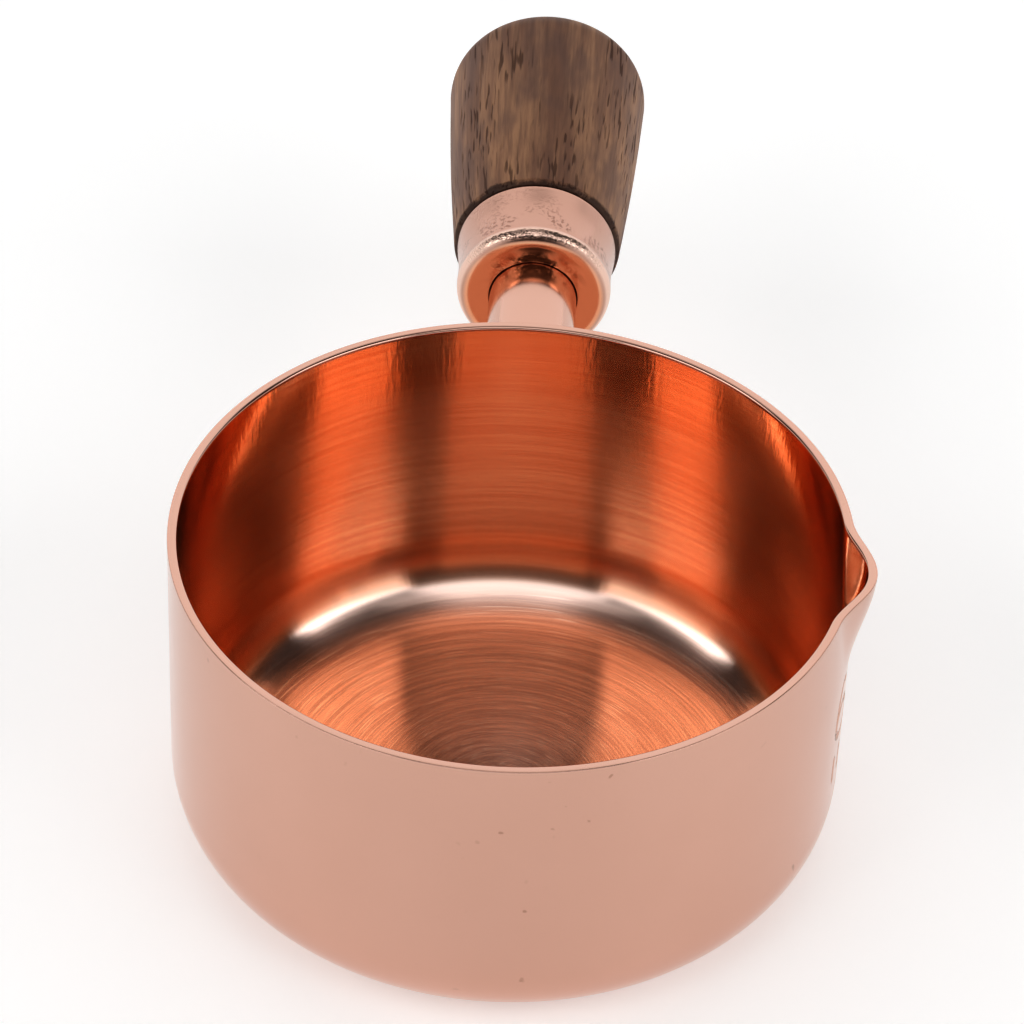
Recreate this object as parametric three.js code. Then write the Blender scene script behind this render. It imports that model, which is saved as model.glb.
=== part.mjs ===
// A handled bar jigger: a drawn measuring bowl with a pouring lip, and a short turned wooden grip that
// stands off the bowl on a brazed neck tube. A threaded stud inside the neck holds the grip on.
//
// Frame: millimetres, +Z up, origin on the bowl's axis at the face it rests on. The handle runs along +Y
// and the pouring lip is on the +X side.

import * as THREE from "three";

// Bowl, pressed from one sheet.
const BOWL_RADIUS = 27.5; // outside
const BOWL_HEIGHT = 29;
const SHEET = 0.8;
const BASE_CORNER = 7; // outside radius between base and wall
const RIM_BREAK = 0.15; // small chamfer on both edges of the rim
const BOWL_SEGMENTS = 80;
const CORNER_STEPS = 6;

// Pouring lip, pressed outwards from the top of the wall. It narrows downwards to a point.
const LIP_ANGLE = THREE.MathUtils.degToRad(-5); // from +X
const LIP_HALF_ANGLE = THREE.MathUtils.degToRad(13.5); // at the rim
const LIP_NARROWING = 0.4; // share of that angle left at the lip's lowest point
const LIP_REACH = 1.75;
const LIP_DEPTH = 9.5;
const LIP_PULL = 0.2; // how far pressing the lip draws the wall beside it inwards
const LIP_PULL_ANGLE = THREE.MathUtils.degToRad(22);
const LIP_ROWS = 6;
const LIP_GATHER = 0.6; // draws the bowl's segments together round the lip

// Neck tube and its braze, on an axis along +Y.
const NECK_HEIGHT = 23;
const NECK_RADIUS = 3.8;
const NECK_WALL = 1;
const NECK_END = 40.8;
const BRAZE_LEG = 1.3; // along the neck and out across the bowl
const BRAZE_HOLLOW = 0.86; // radius of the fillet's hollow face, as a share of the leg
const BRAZE_STEPS = 4;
const JOINT_GAP = 0.12; // between two pieces that are brazed, glued or pressed together

// Ferrule: a collar with a flat front, a well rounded front edge and a socket for the grip's tenon behind.
const FERRULE_BORE = NECK_RADIUS + JOINT_GAP;
const FERRULE_FRONT = 38.75;
const FERRULE_FRONT_RADIUS = 6.72; // where the front edge's rounding ends
const FRONT_ROUND = 1.37;
const WAIST_DROP = 0.08; // how far the collar dips behind the front edge
const WAIST_AFTER = 2.4; // from the end of the rounding to the dip
const FERRULE_BACK_RADIUS = 7;
const FERRULE_BACK = 45.8;
const SOCKET_RADIUS = 5.4;
const SOCKET_FLOOR = 41.6;
const ROUND_STEPS = 8;

// Wooden grip: a taper with a rounded far end.
const GRIP_START = FERRULE_BACK + JOINT_GAP;
const GRIP_SIDE_END = 68.2;
const GRIP_END = 72.2;
const GRIP_START_RADIUS = 7.3;
const GRIP_END_RADIUS = 8.9;
const GRIP_SWELL = 0.15; // how far the side bows out of the straight taper
const GRIP_SQUARENESS = 2.4; // exponent of the far end's curve, 2 for an ellipse
const GRIP_CHAMFER = 0.35;
const GRIP_ROWS = 7;
const GRIP_END_ROWS = 8;
const TENON_RADIUS = SOCKET_RADIUS - JOINT_GAP;
const TENON_START = SOCKET_FLOOR + JOINT_GAP;

// What holds the grip on: a stud screwed into a plug in the neck and into an insert in the wood.
const STUD_RADIUS = 2;
const STUD_START = 33.4;
const STUD_END = 60;
const STUD_CHAMFER = 0.4;
const PLUG_START = 33;
const PLUG_END = 40.4;
const WASHER_RADIUS = FERRULE_BORE - JOINT_GAP;
const WASHER_THICKNESS = 0.6;
const INSERT_RADIUS = 3;
const INSERT_RIB = 0.35; // how far its ribs stand out
const INSERT_RIBS = 5;
const INSERT_START = 46.5;
const INSERT_END = 59;
const GRIP_HOLE_END = 61;

const FINE = 48; // segments of a large turned piece
const COARSE = 28; // segments of a small turned piece

const copper = new THREE.MeshStandardMaterial({ color: 0xdd9b80, roughness: 0.12, metalness: 1 });
const brazeMetal = new THREE.MeshStandardMaterial({ color: 0xcf8f74, roughness: 0.3, metalness: 1 });
const walnut = new THREE.MeshStandardMaterial({ color: 0x6b4a38, roughness: 0.55, metalness: 0 });
const steel = new THREE.MeshStandardMaterial({ color: 0xb8babd, roughness: 0.35, metalness: 1 });
const brass = new THREE.MeshStandardMaterial({ color: 0xc9a24e, roughness: 0.3, metalness: 1 });

const { lerp, degToRad, smoothstep } = THREE.MathUtils;
const point = (radius, along) => new THREE.Vector2(radius, along);

// Points at even steps from 0 to 1, each made by a function.
const steps = (count, make) => Array.from({ length: count + 1 }, (_, i) => make(i / count));

// Points on an arc about (radius, along), from angle a to angle b, in degrees from the outward direction.
const arc = (radius, along, size, a, b, count) =>
  steps(count, (t) => {
    const angle = degToRad(lerp(a, b, t));
    return point(radius + size * Math.cos(angle), along + size * Math.sin(angle));
  });

// A solid of revolution about +Y. The profile runs up the outside and back down the inside.
function turned(name, material, profile, segments) {
  const mesh = new THREE.Mesh(new THREE.LatheGeometry(profile, segments), material);
  mesh.name = name;
  return mesh;
}

// A ring's profile has to close on itself.
const closed = (profile) => [...profile, profile[0].clone()];

// Moves each vertex of a geometry to the place that a function gives for it.
function reshape(geometry, place) {
  const position = geometry.getAttribute("position");
  const vertex = new THREE.Vector3();
  for (let i = 0; i < position.count; i++) {
    vertex.fromBufferAttribute(position, i);
    place(vertex);
    position.setXYZ(i, vertex.x, vertex.y, vertex.z);
  }
  geometry.computeVertexNormals();
}

// How far pressing the lip moves the wall outwards, at an angle from the lip's middle and a height.
function lipReach(angle, height) {
  const up = THREE.MathUtils.clamp((height - BOWL_HEIGHT + LIP_DEPTH) / LIP_DEPTH, 0, 1);
  const across = angle / (LIP_HALF_ANGLE * lerp(LIP_NARROWING, 1, up));
  const lip = Math.abs(across) < 1 ? LIP_REACH * Math.cos((across * Math.PI) / 2) ** 2 : 0;
  const pull = LIP_PULL * Math.exp(-((angle / LIP_PULL_ANGLE) ** 2));
  return (lip - pull) * smoothstep(up, 0, 1);
}

// How far the bowl's wall falls away from its own tangent plane, at a distance to one side of the neck.
const wallDrop = (x) => Math.sqrt(BOWL_RADIUS ** 2 - x ** 2) - BOWL_RADIUS;

function bowl() {
  const inside = BOWL_RADIUS - SHEET;
  const wallRows = steps(LIP_ROWS, (t) => lerp(BOWL_HEIGHT - LIP_DEPTH, BOWL_HEIGHT - RIM_BREAK, t));
  const corner = BOWL_RADIUS - BASE_CORNER;
  const profile = [
    point(0, 0),
    ...arc(corner, BASE_CORNER, BASE_CORNER, -90, 0, CORNER_STEPS),
    ...wallRows.map((z) => point(BOWL_RADIUS, z)),
    point(BOWL_RADIUS - RIM_BREAK, BOWL_HEIGHT),
    point(inside + RIM_BREAK, BOWL_HEIGHT),
    ...wallRows.reverse().map((z) => point(inside, z)),
    ...arc(corner, BASE_CORNER, BASE_CORNER - SHEET, 0, -90, CORNER_STEPS),
    point(0, SHEET),
  ];
  const mesh = turned("bowl", copper, profile, BOWL_SEGMENTS);
  mesh.geometry.rotateX(Math.PI / 2);
  reshape(mesh.geometry, (v) => {
    const even = Math.atan2(v.y, v.x);
    const angle = even - LIP_GATHER * Math.sin(even);
    const radius = Math.hypot(v.x, v.y) + lipReach(angle, v.z);
    v.x = radius * Math.cos(angle + LIP_ANGLE);
    v.y = radius * Math.sin(angle + LIP_ANGLE);
  });
  return mesh;
}

// The neck's foot is cut to the bowl's wall.
function neckTube() {
  const foot = BOWL_RADIUS + JOINT_GAP;
  const hole = NECK_RADIUS - NECK_WALL;
  const profile = [
    point(hole, foot),
    point(NECK_RADIUS, foot),
    point(NECK_RADIUS, NECK_END),
    point(hole, NECK_END),
  ];
  const mesh = turned("neck_tube", copper, closed(profile), FINE);
  reshape(mesh.geometry, (v) => {
    if (v.y < NECK_END) v.y += wallDrop(v.x);
  });
  return mesh;
}

// The braze is a hollow fillet round the foot of the neck, and follows the bowl's wall.
function brazeFillet() {
  const foot = BOWL_RADIUS + JOINT_GAP;
  const inner = NECK_RADIUS + JOINT_GAP;
  const size = BRAZE_LEG * BRAZE_HOLLOW;
  const hollow = arc(inner + BRAZE_LEG, foot + BRAZE_LEG, size, 270, 180, BRAZE_STEPS);
  const profile = [
    point(inner, foot),
    point(inner + BRAZE_LEG, foot),
    ...hollow,
    point(inner, foot + BRAZE_LEG),
  ];
  const mesh = turned("braze_fillet", brazeMetal, closed(profile), FINE);
  reshape(mesh.geometry, (v) => {
    v.y += wallDrop(v.x);
  });
  return mesh;
}

function ferrule() {
  const widestAt = FERRULE_FRONT + FRONT_ROUND;
  const profile = [
    point(FERRULE_BORE, FERRULE_FRONT),
    ...arc(FERRULE_FRONT_RADIUS - FRONT_ROUND, widestAt, FRONT_ROUND, -90, 0, ROUND_STEPS),
    point(FERRULE_FRONT_RADIUS - WAIST_DROP, widestAt + WAIST_AFTER),
    point(FERRULE_BACK_RADIUS, FERRULE_BACK),
    point(SOCKET_RADIUS, FERRULE_BACK),
    point(SOCKET_RADIUS, SOCKET_FLOOR),
    point(FERRULE_BORE, SOCKET_FLOOR),
  ];
  return turned("ferrule", copper, closed(profile), FINE);
}

function woodGrip() {
  const hole = INSERT_RADIUS + INSERT_RIB + JOINT_GAP;
  const side = steps(GRIP_ROWS, (t) => {
    const taper = lerp(GRIP_START_RADIUS, GRIP_END_RADIUS, t);
    const along = lerp(GRIP_START + GRIP_CHAMFER, GRIP_SIDE_END, t);
    return point(taper + GRIP_SWELL * Math.sin(Math.PI * t), along);
  });
  const farEnd = steps(GRIP_END_ROWS, (t) => {
    const along = Math.sin((t * Math.PI) / 2);
    const radius = GRIP_END_RADIUS * (1 - along ** GRIP_SQUARENESS) ** (1 / GRIP_SQUARENESS);
    return point(radius, lerp(GRIP_SIDE_END, GRIP_END, along));
  });
  const profile = [
    point(0, GRIP_HOLE_END),
    point(hole, GRIP_HOLE_END),
    point(hole, TENON_START),
    point(TENON_RADIUS, TENON_START),
    point(TENON_RADIUS, GRIP_START),
    point(GRIP_START_RADIUS - GRIP_CHAMFER, GRIP_START),
    ...side,
    ...farEnd.slice(1, -1),
    point(0, GRIP_END),
  ];
  return turned("wood_grip", walnut, profile, FINE);
}

function tieStud() {
  const tip = STUD_RADIUS - STUD_CHAMFER;
  const profile = [
    point(0, STUD_START),
    point(tip, STUD_START),
    point(STUD_RADIUS, STUD_START + STUD_CHAMFER),
    point(STUD_RADIUS, STUD_END - STUD_CHAMFER),
    point(tip, STUD_END),
    point(0, STUD_END),
  ];
  return turned("tie_stud", steel, profile, COARSE);
}

// A plain sleeve with square ends.
function sleeve(name, material, hole, radius, start, end) {
  const profile = closed([point(hole, start), point(radius, start), point(radius, end), point(hole, end)]);
  return turned(name, material, profile, COARSE);
}

// The insert's ribs bite into the wood. Each one rises steeply, runs flat and falls away gently.
function gripInsert() {
  const hole = STUD_RADIUS + JOINT_GAP;
  const pitch = (INSERT_END - INSERT_START) / INSERT_RIBS;
  const ribs = Array.from({ length: INSERT_RIBS }, (_, i) => {
    const start = INSERT_START + i * pitch;
    return [
      point(INSERT_RADIUS, start + 0.2 * pitch),
      point(INSERT_RADIUS + INSERT_RIB, start + 0.3 * pitch),
      point(INSERT_RADIUS + INSERT_RIB, start + 0.5 * pitch),
      point(INSERT_RADIUS, start + 0.9 * pitch),
    ];
  });
  const profile = [
    point(hole, INSERT_START),
    point(INSERT_RADIUS, INSERT_START),
    ...ribs.flat(),
    point(INSERT_RADIUS, INSERT_END),
    point(hole, INSERT_END),
  ];
  return turned("grip_insert", brass, closed(profile), COARSE);
}

// Everything on the neck's axis.
function handle() {
  const studHole = STUD_RADIUS + JOINT_GAP;
  const plugRadius = NECK_RADIUS - NECK_WALL - JOINT_GAP;
  const washerStart = SOCKET_FLOOR - WASHER_THICKNESS;
  const group = new THREE.Group();
  group.position.z = NECK_HEIGHT;
  group.add(
    neckTube(),
    brazeFillet(),
    ferrule(),
    woodGrip(),
    sleeve("neck_plug", steel, studHole, plugRadius, PLUG_START, PLUG_END),
    tieStud(),
    sleeve("seat_washer", steel, studHole, WASHER_RADIUS, washerStart, SOCKET_FLOOR),
    gripInsert(),
  );
  return group;
}

const jigger = new THREE.Group();
jigger.add(bowl(), handle());

export default jigger;
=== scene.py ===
"""Looks for a handled bar jigger: copper bowl with a pouring lip, neck, ferrule and walnut grip.

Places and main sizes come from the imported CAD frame, and the sizes of details agree with the CAD's. +Z is
up, the handle runs along +Y and the pouring lip is on the +X side. Shapes are fine lofted grids, in metres.
"""

import math

import bpy
import numpy as np
from mathutils import Matrix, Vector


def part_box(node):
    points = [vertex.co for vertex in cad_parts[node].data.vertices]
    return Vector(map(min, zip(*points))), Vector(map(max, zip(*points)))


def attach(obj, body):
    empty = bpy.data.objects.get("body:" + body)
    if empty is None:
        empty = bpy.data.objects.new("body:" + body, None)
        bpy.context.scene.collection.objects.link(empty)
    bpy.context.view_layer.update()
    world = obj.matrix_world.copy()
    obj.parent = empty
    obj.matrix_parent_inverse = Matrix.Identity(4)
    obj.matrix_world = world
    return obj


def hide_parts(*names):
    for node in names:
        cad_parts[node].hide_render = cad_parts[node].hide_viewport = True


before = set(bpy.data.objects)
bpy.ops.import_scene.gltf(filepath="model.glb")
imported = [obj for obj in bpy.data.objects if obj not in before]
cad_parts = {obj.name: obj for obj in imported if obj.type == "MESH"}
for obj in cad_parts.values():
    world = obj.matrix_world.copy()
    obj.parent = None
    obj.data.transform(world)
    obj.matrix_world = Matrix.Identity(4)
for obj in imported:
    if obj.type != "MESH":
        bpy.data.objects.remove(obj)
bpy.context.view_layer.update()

MM = 0.001

# ---- Sizes read from the frame ----

bowl_low, bowl_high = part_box("bowl")
ferrule_low, ferrule_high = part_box("ferrule")
grip_low, grip_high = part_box("wood_grip")
neck_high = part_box("neck_tube")[1]
braze_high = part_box("braze_fillet")[1]

BOWL_RADIUS = round(-bowl_low.y, 4)  # the CAD's facets fall a little inside the circle
BOWL_HEIGHT = bowl_high.z
AXIS_HEIGHT = (ferrule_low.z + ferrule_high.z) / 2
NECK_RADIUS = neck_high.x
FERRULE_RADIUS = ferrule_high.x  # at the back

# ---- Bowl sizes ----

SHEET = 0.8 * MM
BASE_CORNER = 7 * MM  # outside radius between base and wall
RIM_BAND = 0.35 * MM  # height of the rim's own outline
RIM_EASE = 0.09 * MM  # rounding of the rim's outer edge
RIM_EASE_INSIDE = 0.3 * MM

LIP_ANGLE = math.radians(-5)  # from +X
LIP_HALF_ANGLE = math.radians(13.5)  # at the rim
LIP_NARROWING = 0.4  # share of that angle left at the lip's lowest point
LIP_REACH = 1.75 * MM
LIP_DEPTH = 9.5 * MM
LIP_PULL = 0.2 * MM  # how far pressing the lip draws the wall beside it inwards
LIP_PULL_ANGLE = math.radians(22)

MARK_DEPTH = 0.16 * MM
MARK_STROKE = 0.27 * MM  # half the width of a stroke
MARK_FLAT = 0.45  # share of that half width which is pressed to full depth
MARK_SLOPE = 0.75  # share of it over which the depth then runs out
DIGIT_WIDTH = 3.6 * MM
DIGIT_HEIGHT = 5.6 * MM
DIGIT_GAP = 1.5 * MM
DIGIT_MIDDLE = 17.2 * MM  # height above the base
DIGIT_POINTS = 33
SIX_LOOP = 0.58  # height of the 6's loop, as a share of the figure's
SIX_STEM_END = 0.42 * math.pi  # angle at which the 6's stem ends
SIX_STEM_POINTS = 15
TICK_MIDDLE = 11.3 * MM  # height above the base
TICK_LENGTH = 2.2 * MM
TICK_PITCH = 2.0 * MM
TICK_COUNT = 5

# Rows and columns of the bowl's grid. They lie closer together round the lip and the mark.
BOWL_COLUMNS = 330
WALL_ROWS = 120
INNER_ROWS = 44
CORNER_ROWS = 16
BASE_ROWS = 10
FLOOR_ROWS = 16
ROW_CLEAR = 0.3 * MM  # from the base corner to the wall's nearest row
WALL_TOP = 0.6 * MM  # from the rim down to the outside wall's top row
INNER_TOP = 0.7 * MM  # from the rim down to the inside wall's top row
LEVEL_CLEAR = 0.4 * MM  # from the axis and from the corner to the base's nearest rows
LIP_CROWDING = {"middle": LIP_ANGLE, "spread": math.radians(14), "gain": 6.5}
MARK_CROWDING = {"middle": 14.5 * MM, "spread": 6.2 * MM, "gain": 3.5}

# ---- Handle sizes ----

GAP = 0.12 * MM  # between brazed, glued or pressed pieces

NECK_WALL = 1 * MM
NECK_EASE = 0.2 * MM
NECK_EASE_INSIDE = 0.1 * MM
NECK_BEND = 3 * MM  # length over which the neck's foot comes to follow the bowl
NECK_SPAN = 0.5 * MM  # longest span of the outline
NECK_COLUMNS = 96

BRAZE_HOLLOW = 0.86  # radius of the hollow face, as a share of the leg
BRAZE_EDGE = 0.05 * MM  # width of the strip where the outline closes
BRAZE_BEND = 30 * MM  # so long that the whole bead follows the bowl
BRAZE_POINTS = 10

BORE_GAP = 0.07 * MM  # between the neck and the ferrule round it
FERRULE_BORE = NECK_RADIUS + BORE_GAP
FERRULE_FRONT_RADIUS = 6.72 * MM  # where the front edge's rounding ends
FRONT_ROUND = 1.37 * MM
FRONT_ROUND_POINTS = 30
WAIST_DROP = 0.08 * MM  # how far the collar dips behind the front edge
WAIST_AFTER = 2.4 * MM  # from the end of the rounding to the dip
WAIST_EASE = 1.5 * MM
BORE_EASE = 0.08 * MM
BORE_SPLIT = 0.3 * MM  # behind the rounding, where the outline's two parts meet in the bore
BACK_EASE = 0.25 * MM
SOCKET_RADIUS = 5.4 * MM
SOCKET_FLOOR = 4.2 * MM  # in front of the ferrule's back edge
SOCKET_MOUTH_EASE = 0.15 * MM
SOCKET_FLOOR_EASE = 0.2 * MM
FERRULE_SPAN = 0.3 * MM  # longest span of the outline
FERRULE_COLUMNS = 160

GRIP_START_RADIUS = 7.3 * MM
GRIP_END_RADIUS = grip_high.z - AXIS_HEIGHT
GRIP_SWELL = 0.15 * MM  # how far the side bows out of the straight taper
GRIP_SIDE_END = 4.0 * MM  # in front of the grip's far end
GRIP_SQUARENESS = 2.4  # exponent of the far end's curve, 2 for an ellipse
GRIP_CHAMFER = 0.35 * MM
GRIP_CHAMFER_EASE = 0.15 * MM
TENON_EASE = 0.2 * MM
SHOULDER_EASE = 0.1 * MM
GRIP_CENTRE = 0.3 * MM  # radius of the tenon's first ring
GRIP_SPAN = 0.5 * MM  # longest span of the tenon's outline
GRIP_ROWS = 60
GRIP_END_ROWS = 40
GRIP_COLUMNS = 144


# ---- Curves ----

def smoothstep(t):
    t = np.clip(t, 0, 1)
    return t * t * (3 - 2 * t)


def eased(corners, steps=6):
    """Points through (radius, along, ease) corners, each one eased into a curve over its own distance."""
    out = []
    for i, (radius, along, ease) in enumerate(corners):
        here = np.array([radius, along])
        if ease == 0 or i in (0, len(corners) - 1):
            out.append(here)
            continue
        before = np.array(corners[i - 1][:2]) - here
        after = np.array(corners[i + 1][:2]) - here
        start = here + before / np.linalg.norm(before) * ease
        end = here + after / np.linalg.norm(after) * ease
        for t in np.linspace(0, 1, steps + 1):
            out.append((1 - t) ** 2 * start + 2 * t * (1 - t) * here + t * t * end)
    return np.array(out)


def dense(points, step):
    """The same outline with no span longer than step."""
    out = [points[0]]
    for a, b in zip(points[:-1], points[1:]):
        pieces = max(1, math.ceil(np.linalg.norm(b - a) / step))
        for k in range(1, pieces + 1):
            out.append(a + (b - a) * k / pieces)
    return np.array(out)


def arc(radius, along, size, a, b, steps):
    """Points on an arc about (radius, along), from angle a to b, in degrees from the outward direction."""
    angle = np.radians(np.linspace(a, b, steps + 1))
    return np.stack([radius + size * np.cos(angle), along + size * np.sin(angle)], axis=1)


def ellipse(across, up, half_width, half_height, angle):
    return np.stack([across + half_width * np.cos(angle), up + half_height * np.sin(angle)], axis=1)


def crowded(low, high, count, middle, spread, gain, samples=4001, sharpness=8):
    """Numbers from low to high that lie closer together, by gain, within spread of the middle."""
    fine = np.linspace(low, high, samples)
    density = 1 + gain * np.exp(-np.abs((fine - middle) / spread) ** sharpness)
    total = np.concatenate([[0], np.cumsum((density[1:] + density[:-1]) / 2)])
    return np.interp(np.linspace(0, total[-1], count), total, fine)


# ---- Meshes ----

def loft(name, rings, closed=False):
    """A mesh over rings of points. Open lofts are closed with a fan at each end."""
    rows, cols, _ = rings.shape
    verts = rings.reshape(-1, 3)
    row = np.arange(rows if closed else rows - 1)[:, None]
    col = np.arange(cols)[None, :]
    nxt = (col + 1) % cols
    up = (row + 1) % rows
    quads = np.stack([row * cols + col, row * cols + nxt, up * cols + nxt, up * cols + col], axis=-1)
    faces = quads.reshape(-1, 4).tolist()
    if not closed:
        verts = np.concatenate([verts, [rings[0].mean(0), rings[-1].mean(0)]])
        first, last = rows * cols, rows * cols + 1
        ring = range(cols)
        faces += [(first, (i + 1) % cols, i) for i in ring]
        base = (rows - 1) * cols
        faces += [(last, base + i, base + (i + 1) % cols) for i in ring]
    mesh = bpy.data.meshes.new(name)
    mesh.from_pydata(verts.tolist(), [], faces)
    mesh.polygons.foreach_set("use_smooth", np.ones(len(mesh.polygons), bool))
    mesh.update()
    piece = bpy.data.objects.new(name, mesh)
    bpy.context.scene.collection.objects.link(piece)
    return piece


def turned(name, profile, cols, closed=False):
    """A solid of revolution about the handle's axis. The profile's points are (radius, place along +Y)."""
    angle = np.linspace(0, 2 * math.pi, cols, endpoint=False)
    radius = profile[:, 0][:, None]
    along = profile[:, 1][:, None] + np.zeros_like(angle)
    rings = np.stack([radius * np.cos(angle), along, AXIS_HEIGHT - radius * np.sin(angle)], axis=-1)
    return loft(name, rings, closed)


def stand_for(node, piece, material_slot, *materials):
    """Shows a piece in place of a CAD node, on the object's one body, with its materials."""
    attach(piece, "root")
    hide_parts(node)
    for material in materials:
        piece.data.materials.append(material)


# ---- Bowl ----

def from_lip(angle):
    """The angle from the lip's middle, between minus and plus half a turn."""
    return (angle - LIP_ANGLE + math.pi) % (2 * math.pi) - math.pi


def lip_reach(angle, height):
    """How far pressing the lip moves the wall outwards, at an angle from +X and a height."""
    away = from_lip(angle)
    up = np.clip((height - BOWL_HEIGHT + LIP_DEPTH) / LIP_DEPTH, 0, 1)
    across = np.clip(away / (LIP_HALF_ANGLE * (LIP_NARROWING + (1 - LIP_NARROWING) * up)), -1, 1)
    pull = LIP_PULL * np.exp(-((away / LIP_PULL_ANGLE) ** 2))
    return (LIP_REACH * np.cos(across * math.pi / 2) ** 2 - pull) * smoothstep(up)


def mark_strokes():
    """Centre lines of the pressed capacity mark, as (across, height) points: 60 over a row of ticks."""
    turn = np.linspace(0, 2 * math.pi, DIGIT_POINTS)
    sweep = np.linspace(math.pi, SIX_STEM_END, SIX_STEM_POINTS)
    half_width = DIGIT_WIDTH / 2
    half_height = DIGIT_HEIGHT / 2
    shift = (DIGIT_WIDTH + DIGIT_GAP) / 2
    loop = half_height * SIX_LOOP
    loop_middle = DIGIT_MIDDLE - half_height + loop
    strokes = [
        ellipse(shift, DIGIT_MIDDLE, half_width, half_height, turn),
        ellipse(-shift, loop_middle, half_width, loop, turn),
        ellipse(-shift, loop_middle, half_width, DIGIT_HEIGHT - loop, sweep),
    ]
    for i in range(TICK_COUNT):
        across = (i - (TICK_COUNT - 1) / 2) * TICK_PITCH
        ends = [TICK_MIDDLE - TICK_LENGTH / 2, TICK_MIDDLE + TICK_LENGTH / 2]
        strokes.append(np.array([[across, end] for end in ends]))
    return strokes


def mark_depth(across, height):
    """How far the mark is pressed into the outside of the wall."""
    nearest = np.full(across.shape, 1.0)
    for stroke in mark_strokes():
        for a, b in zip(stroke[:-1], stroke[1:]):
            run = b - a
            t = np.clip(((across - a[0]) * run[0] + (height - a[1]) * run[1]) / (run @ run), 0, 1)
            gap = np.hypot(across - a[0] - t * run[0], height - a[1] - t * run[1])
            nearest = np.minimum(nearest, gap)
    return MARK_DEPTH * (1 - smoothstep((nearest / MARK_STROKE - MARK_FLAT) / MARK_SLOPE))


def upright(radius, heights):
    return [(radius, height) for height in heights]


def level(radii, height):
    return [(radius, height) for radius in radii]


def bowl_outline():
    """The bowl's rows from the base's middle, up the outside and down the inside to the floor's middle.

    Also gives which of the rows are the outside wall, and the number of the first row inside.
    """
    inside = BOWL_RADIUS - SHEET
    corner = BOWL_RADIUS - BASE_CORNER  # radius at which the corner's rounding starts
    near_axis = LEVEL_CLEAR
    near_corner = corner - LEVEL_CLEAR
    wall_foot = BASE_CORNER + ROW_CLEAR
    wall = crowded(wall_foot, BOWL_HEIGHT - WALL_TOP, WALL_ROWS, **MARK_CROWDING)
    rows = level(np.linspace(near_axis, near_corner, BASE_ROWS), 0)
    rows += arc(corner, BASE_CORNER, BASE_CORNER, -90, 0, CORNER_ROWS).tolist()
    first_wall = len(rows)
    rows += upright(BOWL_RADIUS, wall)
    rim = eased(
        [
            (BOWL_RADIUS, BOWL_HEIGHT - RIM_BAND, 0),
            (BOWL_RADIUS, BOWL_HEIGHT, RIM_EASE),
            (inside, BOWL_HEIGHT, RIM_EASE_INSIDE),
            (inside, BOWL_HEIGHT - RIM_BAND, 0),
        ]
    )
    rows += rim.tolist()
    first_inner = len(rows)
    rows += upright(inside, np.linspace(BOWL_HEIGHT - INNER_TOP, wall_foot, INNER_ROWS))
    rows += arc(corner, BASE_CORNER, BASE_CORNER - SHEET, 0, -90, CORNER_ROWS).tolist()
    rows += level(np.linspace(near_corner, near_axis, FLOOR_ROWS), SHEET)
    return np.array(rows), slice(first_wall, first_wall + WALL_ROWS), first_inner


def make_bowl():
    """The pressed bowl with its lip and mark. Its first material is outside and its second inside."""
    rows, wall, first_inner = bowl_outline()
    angle = crowded(-math.pi, math.pi, BOWL_COLUMNS + 1, **LIP_CROWDING)[:-1]
    height = rows[:, 1][:, None] + np.zeros_like(angle)
    radius = rows[:, 0][:, None] + lip_reach(angle, height)
    across = from_lip(angle) * BOWL_RADIUS + np.zeros_like(height[wall])
    radius[wall] -= mark_depth(across, height[wall])
    rings = np.stack([radius * np.cos(angle), radius * np.sin(angle), height], axis=-1)
    piece = loft("copper_bowl", rings)
    material = np.zeros(len(piece.data.polygons), np.int32)
    material[(first_inner - 1) * BOWL_COLUMNS : (len(rows) - 1) * BOWL_COLUMNS] = 1
    material[-BOWL_COLUMNS:] = 1
    piece.data.polygons.foreach_set("material_index", material)
    return piece


# ---- Handle ----

def follow_wall(piece, last):
    """Bends the part of a turned piece in front of the given place to the bowl's round wall."""
    for v in piece.data.vertices:
        share = np.clip((last - v.co.y) / (last - BOWL_RADIUS), 0, 1)
        drop = np.sqrt(BOWL_RADIUS**2 - v.co.x**2) - BOWL_RADIUS
        v.co.y += drop * float(share)


def make_neck():
    foot = BOWL_RADIUS + GAP
    hole = NECK_RADIUS - NECK_WALL
    corners = [
        (hole, foot, 0),
        (NECK_RADIUS, foot, 0),
        (NECK_RADIUS, neck_high.y, NECK_EASE),
        (hole, neck_high.y, NECK_EASE_INSIDE),
        (hole, foot, 0),
    ]
    profile = dense(eased(corners), NECK_SPAN)[:-1]
    piece = turned("neck_tube_polished", profile, NECK_COLUMNS, closed=True)
    follow_wall(piece, foot + NECK_BEND)
    return piece


def make_braze():
    """A bead with a hollow face in the corner between the bowl and the neck."""
    foot = BOWL_RADIUS + GAP
    inner = NECK_RADIUS + GAP
    leg = braze_high.x - inner
    outline = [(inner, foot), (inner + leg, foot)]
    outline += arc(inner + leg, foot + leg, leg * BRAZE_HOLLOW, 270, 180, BRAZE_POINTS).tolist()
    outline += [(inner, foot + leg), (inner, foot + BRAZE_EDGE)]
    piece = turned("braze_fillet_bead", np.array(outline), NECK_COLUMNS, closed=True)
    follow_wall(piece, foot + BRAZE_BEND)
    return piece


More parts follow.
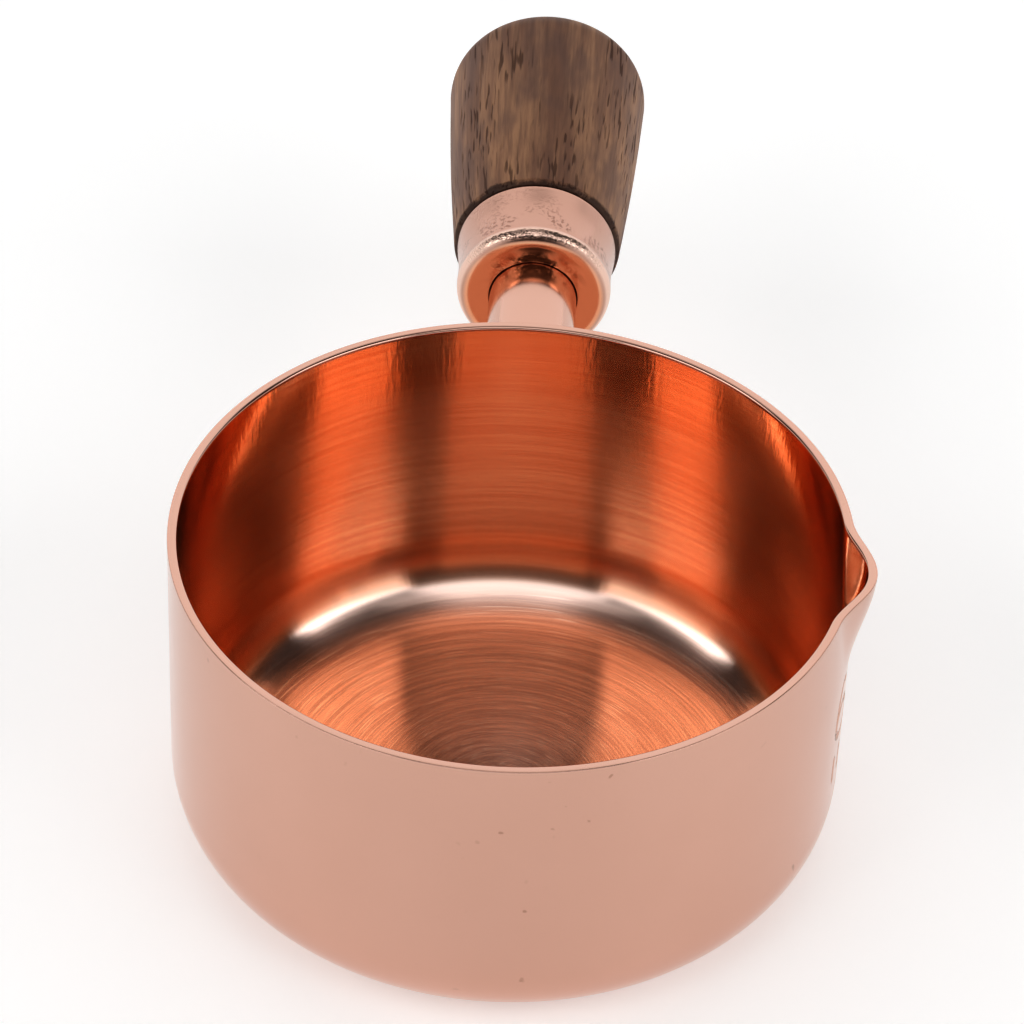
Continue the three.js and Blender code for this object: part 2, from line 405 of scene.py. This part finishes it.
def make_ferrule():
    """A collar with a flat front, a well rounded front edge, a shallow waist and the grip's socket behind."""
    widest_at = ferrule_low.y + FRONT_ROUND
    back = ferrule_high.y
    socket_floor = back - SOCKET_FLOOR
    flat_radius = FERRULE_FRONT_RADIUS - FRONT_ROUND
    edge = arc(flat_radius, widest_at, FRONT_ROUND, -90, 0, FRONT_ROUND_POINTS)
    front = eased(
        [
            (FERRULE_BORE, widest_at, 0),
            (FERRULE_BORE, ferrule_low.y, BORE_EASE),
            (*edge[0], 0),
        ]
    )
    rest = eased(
        [
            (*edge[-1], 0),
            (FERRULE_FRONT_RADIUS - WAIST_DROP, widest_at + WAIST_AFTER, WAIST_EASE),
            (FERRULE_RADIUS, back, BACK_EASE),
            (SOCKET_RADIUS, back, SOCKET_MOUTH_EASE),
            (SOCKET_RADIUS, socket_floor, SOCKET_FLOOR_EASE),
            (FERRULE_BORE, socket_floor, SOCKET_MOUTH_EASE),
            (FERRULE_BORE, widest_at + BORE_SPLIT, 0),
        ]
    )
    profile = dense(np.concatenate([front, edge[1:], rest[1:]]), FERRULE_SPAN)
    return turned("ferrule_polished", profile, FERRULE_COLUMNS, closed=True)


def make_grip():
    """A tenon, a chamfered shoulder, a slightly swelling taper and a rounded far end."""
    start = ferrule_high.y + GAP
    side_end = grip_high.y - GRIP_SIDE_END
    tenon = SOCKET_RADIUS - GAP
    t = np.linspace(0, 1, GRIP_ROWS)
    taper = GRIP_START_RADIUS + (GRIP_END_RADIUS - GRIP_START_RADIUS) * t + GRIP_SWELL * np.sin(math.pi * t)
    side_start = start + GRIP_CHAMFER
    side = np.stack([taper, side_start + (side_end - side_start) * t], axis=1)
    along = np.sin(np.linspace(0, 1, GRIP_END_ROWS)[1:-1] * math.pi / 2)
    radius = GRIP_END_RADIUS * (1 - along**GRIP_SQUARENESS) ** (1 / GRIP_SQUARENESS)
    far = np.stack([radius, side_end + GRIP_SIDE_END * along], axis=1)
    front = eased(
        [
            (GRIP_CENTRE, grip_low.y, 0),
            (tenon, grip_low.y, TENON_EASE),
            (tenon, start, 0),
            (GRIP_START_RADIUS - GRIP_CHAMFER, start, SHOULDER_EASE),
            (*side[0], GRIP_CHAMFER_EASE),
            (*side[2], 0),
        ]
    )
    profile = np.concatenate([dense(front, GRIP_SPAN), side[3:], far])
    return turned("walnut_grip", profile, GRIP_COLUMNS)


# ---- Materials ----

class Shader:
    """Short calls for building a material's or world's nodes. Values are numbers or other nodes' outputs."""

    def __init__(self, owner):
        owner.use_nodes = True
        self.tree = owner.node_tree
        self.tree.nodes.clear()

    def add(self, kind, inputs=None, **settings):
        node = self.tree.nodes.new("ShaderNode" + kind)
        for key, value in settings.items():
            setattr(node, key, value)
        for key, value in (inputs or {}).items():
            self.feed(node.inputs[key], value)
        return node

    def feed(self, socket, value):
        if isinstance(value, bpy.types.NodeSocket):
            self.tree.links.new(value, socket)
        else:
            socket.default_value = value

    def math(self, operation, *values):
        return self.add("Math", dict(enumerate(values)), operation=operation).outputs[0]

    def plus(self, a, b):
        return self.math("ADD", a, b)

    def minus(self, a, b):
        return self.math("SUBTRACT", a, b)

    def times(self, a, b):
        return self.math("MULTIPLY", a, b)

    def length(self, a, b):
        return self.math("SQRT", self.plus(self.times(a, a), self.times(b, b)))

    def ramp(self, value, low, high, at_low, at_high):
        """Goes smoothly from at_low to at_high while the value goes from low to high."""
        inputs = {"Value": value, "From Min": low, "From Max": high, "To Min": at_low, "To Max": at_high}
        return self.add("MapRange", inputs, interpolation_type="SMOOTHSTEP").outputs[0]

    def rise(self, value, low, high):
        return self.ramp(value, low, high, 0.0, 1.0)

    def fall(self, value, low, high):
        return self.ramp(value, low, high, 1.0, 0.0)

    def blend(self, share, at_none, at_all):
        """A number that goes from one to the other as the share goes from 0 to 1."""
        return self.ramp(share, 0, 1, at_none, at_all)

    def mix(self, share, colour, other):
        """The colour with a share of the other one in it. 6, 7 and 2 are the Mix node's colour sockets."""
        return self.add("Mix", {0: share, 6: colour, 7: other}, data_type="RGBA").outputs[2]

    def noise(self, where, scale, detail=2.0, roughness=0.5):
        inputs = {"Vector": where, "Scale": scale, "Detail": detail, "Roughness": roughness}
        return self.add("TexNoise", inputs).outputs[0]

    def bump(self, height, strength, distance, under=None):
        """A normal bent by a height, over another bump where one is given."""
        inputs = {"Height": height, "Strength": strength, "Distance": distance}
        if under is not None:
            inputs["Normal"] = under
        return self.add("Bump", inputs).outputs[0]

    def combine(self, x, y, z):
        return self.add("CombineXYZ", {0: x, 1: y, 2: z}).outputs[0]

    def axes(self, vector):
        return self.add("SeparateXYZ", {0: vector}).outputs

    def place(self):
        return self.add("TexCoord").outputs["Object"]

    def surface(self, inputs):
        shader = self.add("BsdfPrincipled", inputs)
        self.add("OutputMaterial", {"Surface": shader.outputs[0]})


def rgba(r, g, b):
    return (r, g, b, 1.0)


def metal(colour, roughness, normal):
    return {"Base Color": colour, "Metallic": 1.0, "Roughness": roughness, "Normal": normal}


def copper_outside():
    """Polished copper with faint clouds and a few small stains."""
    copper = rgba(0.70, 0.445, 0.36)
    clouded = rgba(0.63, 0.385, 0.30)
    stained = rgba(0.35, 0.18, 0.12)
    material = bpy.data.materials.new("copper_polished")
    s = Shader(material)
    where = s.place()
    clouds = s.noise(where, scale=60, detail=3)
    spots = s.rise(s.noise(where, scale=900, detail=1), 0.72, 0.78)
    patches = s.rise(s.noise(where, scale=120), 0.5, 0.7)
    colour = s.mix(s.ramp(clouds, 0.3, 0.75, 0, 0.25), copper, clouded)
    colour = s.mix(s.times(s.times(spots, patches), 0.5), colour, stained)
    rough = s.ramp(clouds, 0.3, 0.7, 0.1, 0.15)
    waves = s.noise(where, scale=400)
    s.surface(metal(colour, rough, s.bump(waves, strength=0.02, distance=0.1 * MM)))
    return material


def copper_cast():
    """Satin copper on the ferrule: scattered small pits, a rough front edge lightened as a painted highlight,
    a front face painted deeper orange as a painted reflection of the bowl, and darker mottling near the bore
    that is partly braze residue and partly painted dark reflection.
    """
    collar = rgba(0.60, 0.37, 0.295)
    # painted highlight: the rounded front edge is coloured paler where it catches the light
    edge = rgba(0.84, 0.60, 0.50)
    # painted reflection: the flat front face is coloured deeper orange for the copper bowl it mirrors
    face_reflected_orange = rgba(0.90, 0.47, 0.29)
    # dark mottling near the bore: partly braze residue, partly a painted dark reflection
    residue_and_dark_reflection = rgba(0.25, 0.10, 0.06)
    pitted = rgba(0.30, 0.14, 0.10)
    material = bpy.data.materials.new("copper_satin")
    s = Shader(material)
    where = s.place()
    x, y, z = s.axes(where)

    # Where each look is: the rounded edge, the flat face, the ring round the bore and the upper half.
    front = ferrule_low.y
    round_end = front + FRONT_ROUND
    on_edge = s.times(
        s.rise(y, front + 0.25 * MM, front + 0.55 * MM),
        s.fall(y, round_end - 0.35 * MM, round_end + 0.1 * MM),
    )
    on_face = s.fall(y, front + 0.02 * MM, front + 0.3 * MM)
    from_axis = s.length(x, s.minus(z, AXIS_HEIGHT))
    at_bore = s.fall(from_axis, NECK_RADIUS + 0.6 * MM, NECK_RADIUS + 1.5 * MM)
    above = s.rise(z, AXIS_HEIGHT + 1 * MM, AXIS_HEIGHT + 4 * MM)
    rough_edge = s.times(on_edge, above)
    rough_face = s.times(s.times(on_face, at_bore), above)

    # Pits gather in patches behind the rounded edge and thin out toward the back.
    patches = s.rise(s.noise(where, scale=260, detail=1), 0.42, 0.52)
    patches = s.times(patches, s.rise(y, round_end, round_end + 0.4 * MM))
    patches = s.times(patches, s.ramp(y, round_end + 0.9 * MM, round_end + 3.4 * MM, 1.0, 0.2))
    pits = s.times(s.rise(s.noise(where, scale=2900, roughness=0.6), 0.53, 0.6), patches)

    lumps = s.noise(where, scale=2100, roughness=0.6)
    grit = s.noise(where, scale=5200, roughness=0.6)
    crinkle = s.noise(where, scale=1000, detail=3, roughness=0.6)
    rubble = s.plus(lumps, s.times(grit, 0.7))
    height = s.minus(s.times(lumps, 0.03), s.times(pits, 0.25))
    height = s.plus(height, s.times(rubble, rough_edge))
    height = s.plus(height, s.times(crinkle, s.times(rough_face, 1.3)))

    # Mottling near the bore on the upper face: partly braze residue, partly a painted dark reflection.
    residue_and_reflection_share = s.times(rough_face, s.rise(s.noise(where, scale=900, detail=3), 0.5, 0.6))
    # The rounded edge's paler colour is a painted highlight.
    colour = s.mix(on_edge, collar, edge)
    # The face's deeper orange is a painted reflection of the bowl.
    colour = s.mix(on_face, colour, face_reflected_orange)
    colour = s.mix(s.times(residue_and_reflection_share, 0.6), colour, residue_and_dark_reflection)
    colour = s.mix(s.times(pits, 0.55), colour, pitted)
    rough = s.blend(s.math("MAXIMUM", rough_edge, rough_face), 0.2, 0.14)
    s.surface(metal(colour, rough, s.bump(height, strength=0.5, distance=0.14 * MM)))
    return material


def copper_inside():
    """Satin copper with fine lines round the bowl, on the wall and on the floor, a painted highlight and a
    painted dark reflection in the rounding at the floor, and scratches that are partly painted glints.
    """
    wall = rgba(0.94, 0.53, 0.315)
    floor = rgba(0.88, 0.59, 0.48)
    dull_wall = rgba(0.80, 0.32, 0.165)
    dull_floor = rgba(0.46, 0.26, 0.22)
    # painted highlight: the bright crescent low in the rounding between floor and wall
    corner_highlight_colour = rgba(1.0, 0.80, 0.73)
    # painted dark reflection: the dim line just above the bright crescent
    corner_dark_reflection_colour = rgba(0.56, 0.325, 0.24)
    # scratches: real marks, their pale colour partly a painted glint
    scratch_glint_colour = rgba(1.0, 0.8, 0.7)
    material = bpy.data.materials.new("copper_brushed")
    s = Shader(material)
    x, y, z = s.axes(s.place())

    # The rounding between floor and wall gets a painted highlight low down, and a painted dark reflection
    # just above that.
    is_floor = s.fall(z, 1.2 * MM, 3.5 * MM)
    corner_highlight_band = s.times(s.rise(z, 0.9 * MM, 2.3 * MM), s.ramp(z, 2.3 * MM, 3.1 * MM, 1.0, 0.1))
    corner_dark_band = s.times(s.rise(z, 2.4 * MM, 2.9 * MM), s.fall(z, 4 * MM, 6 * MM))
    near_rim = s.rise(z, BOWL_HEIGHT - 9 * MM, BOWL_HEIGHT - 2 * MM)

    turn = s.math("ARCTAN2", y, x)
    run = s.minus(z, s.length(x, y))

    def round_bowl(around, across, offset, detail=1):
        """Noise drawn out along the turning lines, at one height on the wall or one radius on the floor."""
        place = s.combine(s.times(turn, around), s.times(run, across), offset)
        return s.noise(place, scale=1.0, detail=detail)

    hair = round_bowl(around=2.2, across=13000, offset=0.0)
    line = round_bowl(around=1.5, across=4800, offset=3.0)
    band = round_bowl(around=0.9, across=1900, offset=5.0)
    scratch = round_bowl(around=4.0, across=9500, offset=9.0, detail=0)
    lines = s.plus(s.times(hair, 0.5), s.times(line, 0.5))
    tone = s.plus(s.times(lines, 0.7), s.times(band, 0.3))

    dull = s.times(s.rise(tone, 0.4, 0.6), s.blend(is_floor, 0.6, 0.45))
    # Scratches, coloured pale partly as painted glints.
    scratch_glint_share = s.times(s.rise(scratch, 0.66, 0.74), s.blend(is_floor, 0.1, 0.7))
    colour = s.mix(dull, s.mix(is_floor, wall, floor), s.mix(is_floor, dull_wall, dull_floor))
    # Painted highlight in the rounding between floor and wall.
    colour = s.mix(s.times(corner_highlight_band, 0.75), colour, corner_highlight_colour)
    # Painted dark reflection just above the rounding's highlight.
    colour = s.mix(s.times(corner_dark_band, 0.75), colour, corner_dark_reflection_colour)
    colour = s.mix(scratch_glint_share, colour, scratch_glint_colour)

    rough = s.blend(is_floor, 0.18, 0.21)
    rough = s.minus(rough, s.times(near_rim, 0.09))
    rough = s.minus(rough, s.times(corner_highlight_band, 0.05))

    ripple = s.noise(s.combine(s.times(turn, 55.0), s.times(z, 420), 7.0), scale=1.0)
    waviness = s.times(s.blend(is_floor, 1.0, 0.0), s.blend(near_rim, 0.12, 0.5))
    brushed = s.bump(lines, strength=s.blend(is_floor, 0.18, 0.55), distance=0.02 * MM)
    normal = s.bump(ripple, strength=waviness, distance=0.02 * MM, under=brushed)
    along_lines = {
        "Anisotropic": 1.0,
        "Anisotropic Rotation": 0.25,
        "Tangent": s.add("Tangent", direction_type="RADIAL", axis="Z").outputs[0],
    }
    s.surface(metal(colour, rough, normal) | along_lines)
    return material


def walnut():
    """Oiled walnut: long tone bands, short dark pores along the grain and a worn dark edge at the ferrule."""
    dark_band = rgba(0.215, 0.105, 0.062)
    light_band = rgba(0.41, 0.225, 0.125)
    cloudy = rgba(0.155, 0.082, 0.062)
    fibrous = rgba(0.14, 0.07, 0.047)
    pore_brown = rgba(0.05, 0.023, 0.017)
    edge_black = rgba(0.032, 0.012, 0.008)
    material = bpy.data.materials.new("walnut")
    s = Shader(material)
    where = s.place()
    x, y, z = s.axes(where)

    def grain(stretch, scale, detail, roughness=0.5):
        """Noise drawn out along the handle."""
        return s.noise(s.combine(x, s.times(y, stretch), z), scale, detail, roughness)

    bands = grain(0.05, scale=560, detail=4, roughness=0.6)
    clouds = grain(0.35, scale=240, detail=3, roughness=0.6)
    fibres = grain(0.03, scale=2600, detail=3, roughness=0.6)
    pores = grain(0.05, scale=3600, detail=1)
    crowding = s.rise(grain(0.22, scale=300, detail=2), 0.42, 0.6)
    pore = s.times(s.rise(pores, 0.56, 0.66), s.blend(crowding, 0.15, 1.0))
    colour = s.mix(s.rise(bands, 0.34, 0.66), dark_band, light_band)
    colour = s.mix(s.ramp(clouds, 0.45, 0.62, 0, 0.6), colour, cloudy)
    colour = s.mix(s.ramp(fibres, 0.4, 0.65, 0, 0.35), colour, fibrous)
    colour = s.mix(s.times(pore, 0.65), colour, pore_brown)

    splinters = s.noise(where, scale=1800, detail=3, roughness=0.7)
    ragged = s.plus(s.noise(where, scale=420), s.times(splinters, 0.8))
    ragged = s.minus(y, s.times(ragged, 1.1 * MM))
    edge = s.fall(ragged, ferrule_high.y - 0.75 * MM, ferrule_high.y - 0.3 * MM)
    colour = s.mix(s.times(edge, 0.85), colour, edge_black)

    height = s.minus(s.times(fibres, 0.4), pore)
    height = s.minus(height, s.times(edge, s.noise(where, scale=1800)))
    look = {
        "Base Color": colour,
        "Roughness": s.blend(pore, 0.5, 0.75),
        "Specular IOR Level": 0.38,
        "Normal": s.bump(height, strength=0.5, distance=0.08 * MM),
    }
    s.surface(look)
    return material


def turned_metal(name, colour, roughness):
    """Turned steel or brass for the pieces inside the handle."""
    material = bpy.data.materials.new(name)
    s = Shader(material)
    y = s.axes(s.place())[1]
    rings = s.noise(s.combine(0.0, s.times(y, 6000), 0.0), scale=1.0)
    rough = s.ramp(rings, 0.3, 0.7, roughness, roughness + 0.12)
    s.surface(metal(colour, rough, s.bump(rings, strength=0.1, distance=0.02 * MM)))
    return material


# ---- Assembly ----

polished = copper_outside()
brushed = copper_inside()
stand_for("bowl", make_bowl(), "polished_copper", polished, brushed)
stand_for("neck_tube", make_neck(), "polished_copper", polished)
stand_for("braze_fillet", make_braze(), "braze_metal", polished)
stand_for("ferrule", make_ferrule(), "polished_copper", copper_cast())
stand_for("wood_grip", make_grip(), "walnut", walnut())

steel = turned_metal("turned_steel", rgba(0.56, 0.57, 0.58), 0.28)
brass = turned_metal("turned_brass", rgba(0.66, 0.46, 0.2), 0.25)
inside_handle = {"neck_plug": steel, "tie_stud": steel, "seat_washer": steel, "grip_insert": brass}
for node, material in inside_handle.items():
    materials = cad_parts[node].data.materials
    materials.clear()
    materials.append(material)


# ---- Floor ----

FLOOR_HALF = 3.0  # half its width, in metres
TABLE_GLOW = 0.26  # the pale table is softly lit from below as well


def make_floor():
    mesh = bpy.data.meshes.new("floor")
    corners = [(-1, -1), (1, -1), (1, 1), (-1, 1)]
    mesh.from_pydata([(x * FLOOR_HALF, y * FLOOR_HALF, 0) for x, y in corners], [], [(0, 1, 2, 3)])
    floor = bpy.data.objects.new("floor", mesh)
    bpy.context.scene.collection.objects.link(floor)
    material = bpy.data.materials.new("floor")
    look = {
        "Base Color": rgba(0.86, 0.86, 0.86),
        "Roughness": 0.8,
        "Emission Color": rgba(1, 1, 1),
        "Emission Strength": TABLE_GLOW,
    }
    Shader(material).surface(look)
    mesh.materials.append(material)


# ---- Light. Angles are in degrees, and heights are angles above the horizon ----

SURROUND = 0.66  # pale studio walls
GLOOM = 0.035  # the dark room above them
SURROUND_TOP = (17.0, 27.0)  # heights between which one gives way to the other
CEILING = 0.4
CEILING_EDGE = (76.0, 84.0)
LIGHTS = (
    # compass angle from the back (+Y) toward +X, half width, low, high, strength
    (0, 46, -6, 50, 0.82),  # back window
    (-10, 44, 50, 72, 0.4),  # its top
    (-117, 29, 26, 47, 1.65),  # front left softbox
    (115, 24, 26, 47, 1.7),  # front right softbox
    (178, 44, 50, 80, 1.0),  # overhead panel on the camera side
    (178, 68, 57, 80, 0.45),  # its dimmer sides
)
LIGHT_EDGE = 3.0  # each light fades over this far to either side of its edge


def window(s, compass, height, middle, half_width, low, high, strength):
    """A soft-edged window of light round a compass angle, between two heights."""
    turn = s.math("ABSOLUTE", s.math("WRAP", s.minus(compass, middle), 180.0, -180.0))
    across = s.fall(turn, half_width - LIGHT_EDGE, half_width + LIGHT_EDGE)
    above = s.rise(height, low - LIGHT_EDGE, low + LIGHT_EDGE)
    below = s.fall(height, high - LIGHT_EDGE, high + LIGHT_EDGE)
    return s.times(s.times(across, above), s.times(below, strength))


def make_world():
    world = bpy.data.worlds.new("studio")
    bpy.context.scene.world = world
    s = Shader(world)
    x, y, z = s.axes(s.add("TexCoord").outputs["Generated"])
    compass = s.times(s.math("ARCTAN2", x, y), 180 / math.pi)
    height = s.times(s.math("ARCSINE", z), 180 / math.pi)
    light = s.ramp(height, *SURROUND_TOP, SURROUND, GLOOM)
    light = s.plus(light, s.ramp(height, *CEILING_EDGE, 0.0, CEILING))
    for shape in LIGHTS:
        light = s.math("MAXIMUM", light, window(s, compass, height, *shape))
    shade = s.add("Background", {"Color": s.combine(light, light, light), "Strength": 1.0})
    s.add("OutputWorld", {"Surface": shade.outputs[0]})


# ---- Camera ----

VIEW_DISTANCE = 0.3563  # metres from the target
VIEW_ELEVATION = math.radians(40.21)
VIEW_AZIMUTH = math.radians(1.2)
VIEW_ROLL = math.radians(2.48)
VIEW_LENS = 158.2  # focal length and sensor width in millimetres
VIEW_SENSOR = 36
VIEW_NEAREST = 0.01  # nothing closer than this many metres is drawn
VIEW_TARGET = (-0.0002, 0.0, 0.0313)


def make_camera():
    data = bpy.data.cameras.new("camera")
    data.lens = VIEW_LENS
    data.sensor_width = VIEW_SENSOR
    data.clip_start = VIEW_NEAREST
    camera = bpy.data.objects.new("camera", data)
    out = VIEW_DISTANCE * math.cos(VIEW_ELEVATION)
    camera.location = (
        VIEW_TARGET[0] + out * math.sin(VIEW_AZIMUTH),
        VIEW_TARGET[1] - out * math.cos(VIEW_AZIMUTH),
        VIEW_TARGET[2] + VIEW_DISTANCE * math.sin(VIEW_ELEVATION),
    )
    turn = Matrix.Rotation(VIEW_AZIMUTH, 3, "Z")
    tilt = Matrix.Rotation(math.pi / 2 - VIEW_ELEVATION, 3, "X")
    roll = Matrix.Rotation(VIEW_ROLL, 3, "Z")
    camera.rotation_euler = (turn @ tilt @ roll).to_euler()
    bpy.context.scene.collection.objects.link(camera)
    bpy.context.scene.camera = camera


make_floor()
make_world()
make_camera()
bpy.context.scene.view_settings.view_transform = "Standard"
bpy.context.scene.view_settings.look = "High Contrast"
